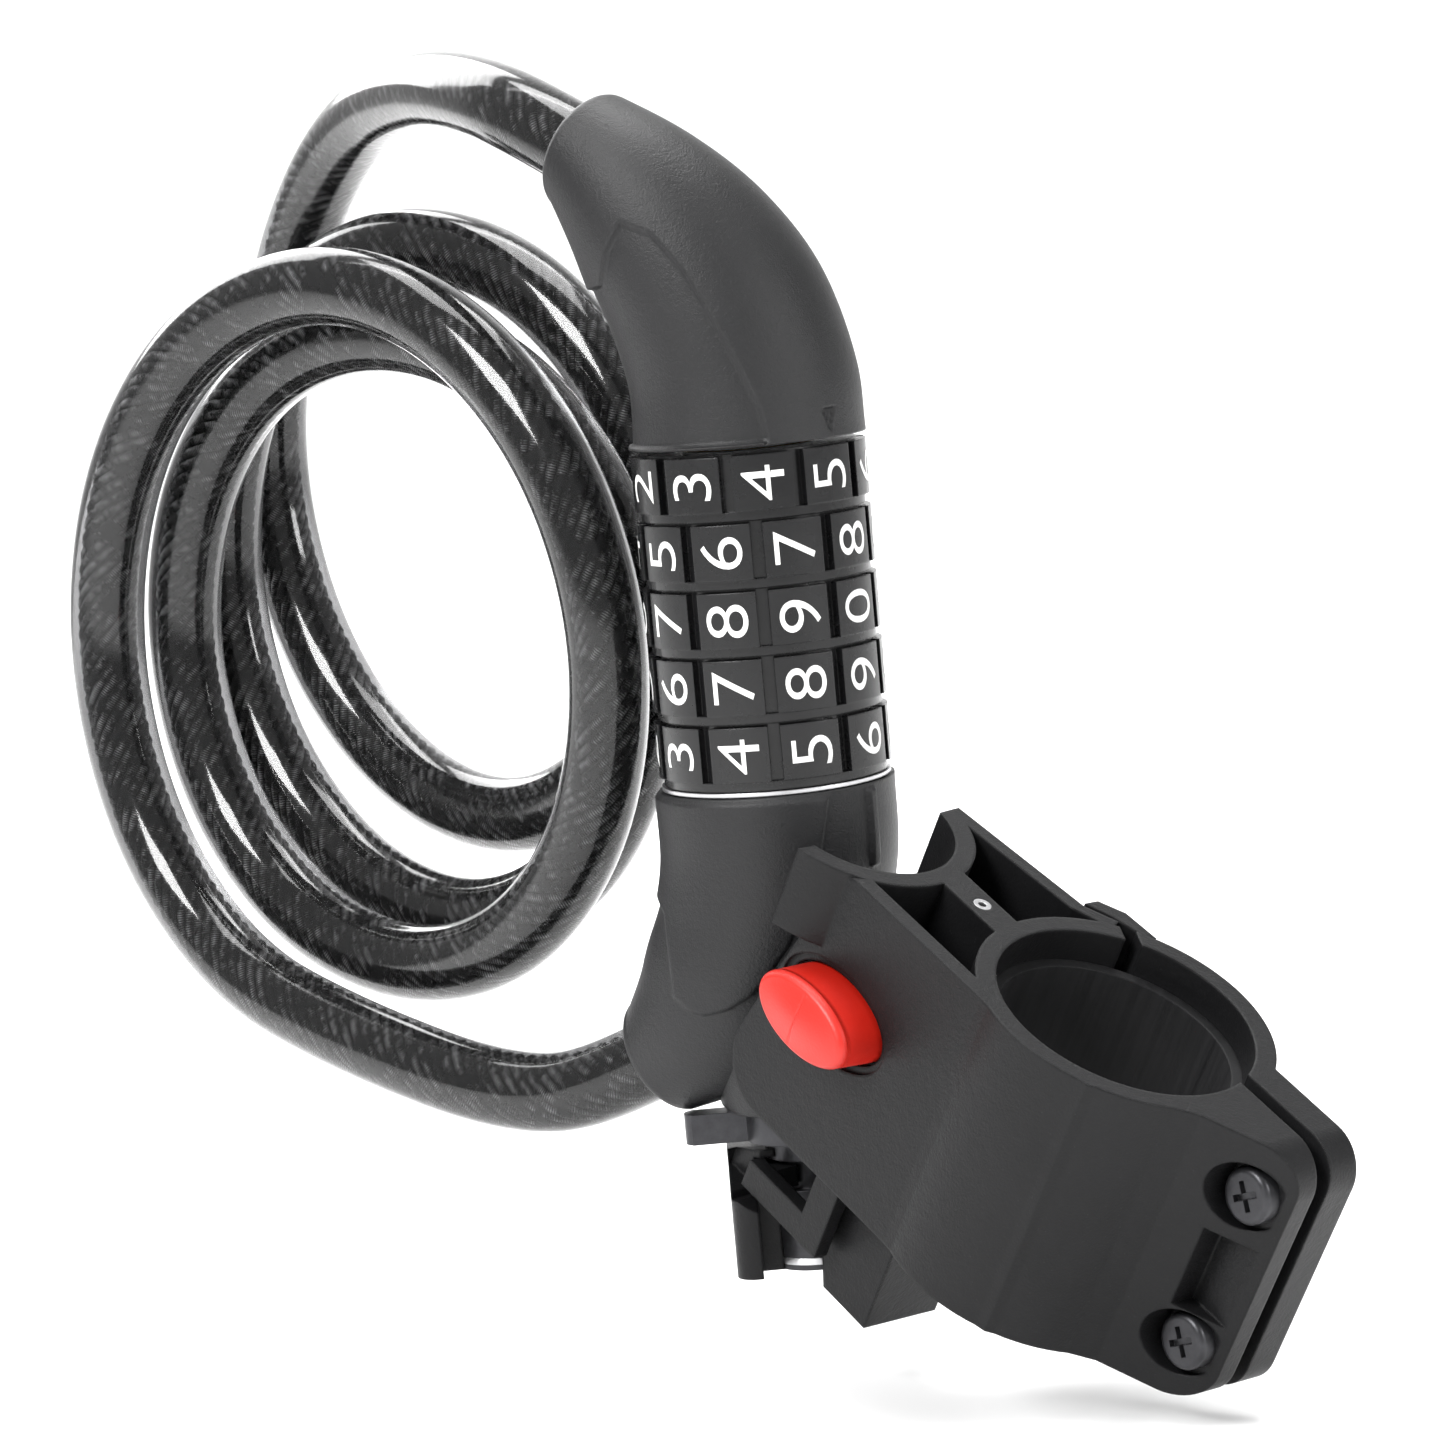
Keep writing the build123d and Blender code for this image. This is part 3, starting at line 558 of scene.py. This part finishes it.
def bootSurface(boot, columns=300, rows=230):
    # rings square to a bent middle line, rounded over at the dials and at the cable's mouth
    table = np.array(boot["sections"], float)
    stations = np.linspace(0, len(table) - 1, rows)
    found = smoothTable(table, stations)
    middle = found[:, :3]
    way = unit(found[:, 3:6])
    radius = found[:, 6]
    lead = np.linspace(0, 1, 7)[:-1]
    lip = np.linspace(0, 1, 12)[1:]
    rimCentre = middle[0] + way[0] * 0.7 * (1 - np.cos(lead * np.pi / 2))[:, None]
    rimRadius = radius[0] - 1.2 + 1.2 * lead
    lipOut = np.sin(lip * np.pi) * 1.5
    lipIn = radius[-1] - (radius[-1] - 6.05) * (1 - np.cos(lip * np.pi)) / 2
    centre = np.concatenate([
        rimCentre[:1] + way[0] * 0.9,
        rimCentre,
        middle,
        middle[-1] + way[-1] * lipOut[:, None],
        middle[-1:] - way[-1] * 3,
    ])
    direction = np.concatenate([np.repeat(way[:1], 7, 0), way, np.repeat(way[-1:], 12, 0)])
    size = np.concatenate([[radius[0] - 2.5], rimRadius, radius, lipIn, [6.05]])
    across = unit(np.cross(np.array([0, 1.0, 0]), direction))
    over = np.cross(direction, across)
    angle = np.linspace(0, 2 * np.pi, columns, endpoint=False)
    ring = np.cos(angle)[None, :, None] * across[:, None] + np.sin(angle)[None, :, None] * over[:, None]
    points = centre[:, None] + ring * size[:, None, None]
    x, y, z = points[..., 0], points[..., 1], points[..., 2]
    change = boot["raise"] * smoothStep(insideBy(x, z, boot["tongue"]) / 0.8 + 0.5)
    bearing, halfWidth, low, high, depth = boot["mark"]
    offAxis = np.abs(np.degrees(np.arctan2(y, x)) - bearing) * np.hypot(x, y) * np.pi / 180
    narrowing = (z - low) / (high - low) if depth < 0 else 1.0
    span = smoothStep((z - low) / 0.5) * smoothStep((high - z) / 0.5)
    change = change + depth * smoothStep((halfWidth * narrowing - offAxis) / 0.35) * span
    row = np.arange(len(centre))
    fade = smoothStep((row - 7) / 5) * smoothStep((len(centre) - 16 - row) / 20)
    points = points + ring * (change * fade[:, None])[..., None]
    return lockAxis + points * mm


for name, boot in boots.items():
    points = bootSurface(boot)
    made = addMesh(f"{name}Boot", points, gridFaces(*points.shape[:2]), finishes["boot_skin"])
    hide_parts(f"{name}_boot")
    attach(made, boot["body"])

footCone = {
    "profile": ((9.0, -71.9), (11.0, -72.3), (11.9, -71.6), (12.6, -69), (15.6, -50), (16.2, -44), (15.0, -43)),
    "rows": 80,
    "columns": 120,
}
# turned surface: each point of the profile goes round the lock's axis
profile = smoothTable(np.array(footCone["profile"]), np.linspace(0, 6, footCone["rows"]))
angle = np.linspace(0, 2 * np.pi, footCone["columns"], endpoint=False)
coneRadius, coneHeight = profile[:, :1], profile[:, 1:]
turned = np.stack(
    np.broadcast_arrays(coneRadius * np.cos(angle), coneRadius * np.sin(angle), coneHeight + 0 * angle), -1
)
cone = addMesh("footCone", lockAxis + turned * mm, gridFaces(*turned.shape[:2]), finishes["boot_skin"])
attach(cone, "lock_body")
print("boots")


numbers = {
    "height": 6.2,
    "width": 4.7,
    "radius": 16.93,
    "pitch": 9.6,
    "turn": (-84.5, -72, -72, -72, -72),
    "value": (4, 7, 9, 8, 5),
}


def digitShape(character):
    # the outline of one number cut into narrow strips, so that it can bend round the dial
    text = bpy.data.curves.new("digit", "FONT")
    text.body = character
    text.align_x = "CENTER"
    text.offset = -0.008
    text.resolution_u = 6
    holder = bpy.data.objects.new("digit", text)
    scene.collection.objects.link(holder)
    bpy.context.view_layer.update()
    mesh = bpy.data.meshes.new_from_object(holder)
    bpy.data.objects.remove(holder)
    shape = bmesh.new()
    shape.from_mesh(mesh)
    bmesh.ops.remove_doubles(shape, verts=shape.verts, dist=1e-5)
    for level in np.arange(-0.1, 0.9, 0.06):
        parts = shape.verts[:] + shape.edges[:] + shape.faces[:]
        bmesh.ops.bisect_plane(shape, geom=parts, plane_co=(0, level, 0), plane_no=(0, 1, 0))
    bmesh.ops.triangulate(shape, faces=shape.faces[:])
    shape.to_mesh(mesh)
    shape.free()
    flat = np.empty(len(mesh.vertices) * 3)
    mesh.vertices.foreach_get("co", flat)
    faces = np.empty(len(mesh.polygons) * 3, int)
    mesh.polygons.foreach_get("vertices", faces)
    bpy.data.meshes.remove(mesh)
    return flat.reshape(-1, 3)[:, :2], faces.reshape(-1, 3)


shapes = {value: digitShape(str(value)) for value in range(10)}
widest = shapes[8][0]
middleOfText = (widest.max(0) + widest.min(0)) / 2
sizeOfText = widest.max(0) - widest.min(0)
paint = makeNumberPaint()
for row in range(5):
    rowPoints = []
    rowFaces = []
    count = 0
    for value in range(10):
        flat, faces = shapes[value]
        flat = (flat - middleOfText) / sizeOfText * (numbers["width"], numbers["height"])
        middle = radians(numbers["turn"][row] + 36 * (value - numbers["value"][row]))
        bearing = middle - flat[:, 1] / numbers["radius"]
        height = 24 - numbers["pitch"] * (row + 1) + 5.25 + flat[:, 0]
        across = np.stack([np.cos(bearing), np.sin(bearing)], 1) * numbers["radius"]
        wrapped = np.concatenate([across, height[:, None]], 1)
        rowPoints.append(lockAxis + wrapped * mm)
        rowFaces.append(faces + count)
        count += len(flat)
    made = addMesh(f"numbers{row + 1}", np.concatenate(rowPoints), np.concatenate(rowFaces), paint)
    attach(made, f"dial_{row + 1}_body")
print("numbers")


button = {
    "x": -31.0,
    "z": 1.5,
    "long": 9.7,
    "short": 5.2,
    "back": -17.0,
    "front": -27.4,
    "rim": 1.3,
    "domeRise": 0.6,
}
angle = np.linspace(0, 2 * np.pi, 160, endpoint=False)
level = np.linspace(0, 1, 60)
# side wall, then a rounded edge, then a low dome that closes to a point
edge = np.linspace(0, np.pi / 2, 14)
dome = button["rim"] + (button["long"] - button["rim"]) * level[1:] ** 0.9
inward = np.concatenate([np.zeros(12), button["rim"] * (1 - np.cos(edge)), dome])
wallEnd = button["front"] + button["rim"] + button["domeRise"]
forward = np.concatenate([
    np.linspace(button["back"], wallEnd, 12),
    wallEnd - button["rim"] * np.sin(edge),
    button["front"] + button["domeRise"] * (1 - np.sin(level[1:] * np.pi / 2)),
])
scale = np.clip(1 - inward / button["long"], 0, 1)[:, None]
taper = (1 - 0.03 * np.clip((button["back"] - forward) / 10, 0, 1))[:, None]
across = button["long"] * scale * np.cos(angle) * taper
upward = (button["short"] - np.minimum(inward, button["rim"])[:, None] * 0.2) * scale * np.sin(angle) * taper
seam = 0.18 * smoothStep(1 - np.abs(across + 0.2) / 0.22) * (inward[:, None] > 0.9)
depth = forward[:, None] + seam + 0 * angle
place = toScrews * (across + button["x"])[..., None] + toBack * depth[..., None]
place = place + tubeAxis * (upward + button["z"])[..., None]
made = addMesh("redButton", place * mm, gridFaces(*across.shape)[:, ::-1], finishes["red_plastic"])
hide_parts("release_button")
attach(made, "button")
print("button")


floorHeight = float(cadBounds[0][2]) - 0.0005
sweepProfile = np.array([(-3.0, 0), (1.2, 0), (1.9, 0.06), (2.3, 0.35), (2.45, 0.9), (2.5, 4.0)])
# the floor's profile runs back and then up, and is drawn out sideways
bent = smoothTable(sweepProfile, np.linspace(0, 5, 90))
spread = np.linspace(-4, 4, 20)
floorPoints = np.stack(
    np.broadcast_arrays(spread[None, :], bent[:, :1], bent[:, 1:] + floorHeight), -1
)
pale = Finish("paleFloor")
pale.set(Base_Color=pale.blend(pale.noise(6, 3.0), (0.86, 0.86, 0.86), (0.9, 0.9, 0.9)))
pale.set(Roughness=pale.noise(300, 3.0) * 0.2 + 0.55)
floor = addMesh("floor", floorPoints, gridFaces(90, 20, wrap=False), pale.material)

lights = (
    ("key", (-0.7, -0.7, 0.9), (-0.03, 0.04, 0.06), 0.5, 20),
    ("fill", (0.9, -0.6, 0.5), (-0.03, 0.04, 0.06), 0.35, 6),
    ("top", (0.0, 0.3, 1.3), (-0.03, 0.04, 0.06), 0.9, 20),
    ("rear", (-0.6, 1.1, 0.8), (-0.03, 0.04, 0.06), 0.9, 16),
    ("backdrop", (0.0, 0.7, 1.5), (0.0, 2.5, 0.5), 1.2, 26),
)
for name, spot, aim, width, power in lights:
    lamp = bpy.data.lights.new(name, "AREA")
    lamp.shape = "SQUARE"
    lamp.size = width
    lamp.energy = power
    holder = bpy.data.objects.new(name, lamp)
    holder.location = spot
    holder.rotation_euler = (Vector(spot) - Vector(aim)).to_track_quat("Z", "Y").to_euler()
    scene.collection.objects.link(holder)
sky = bpy.data.worlds.new("studio")
sky.use_nodes = True
sky.node_tree.nodes["Background"].inputs["Color"].default_value = (1, 1, 1, 1)
sky.node_tree.nodes["Background"].inputs["Strength"].default_value = 0.5
scene.world = sky
scene.view_settings.view_transform = "Standard"
print("studio")
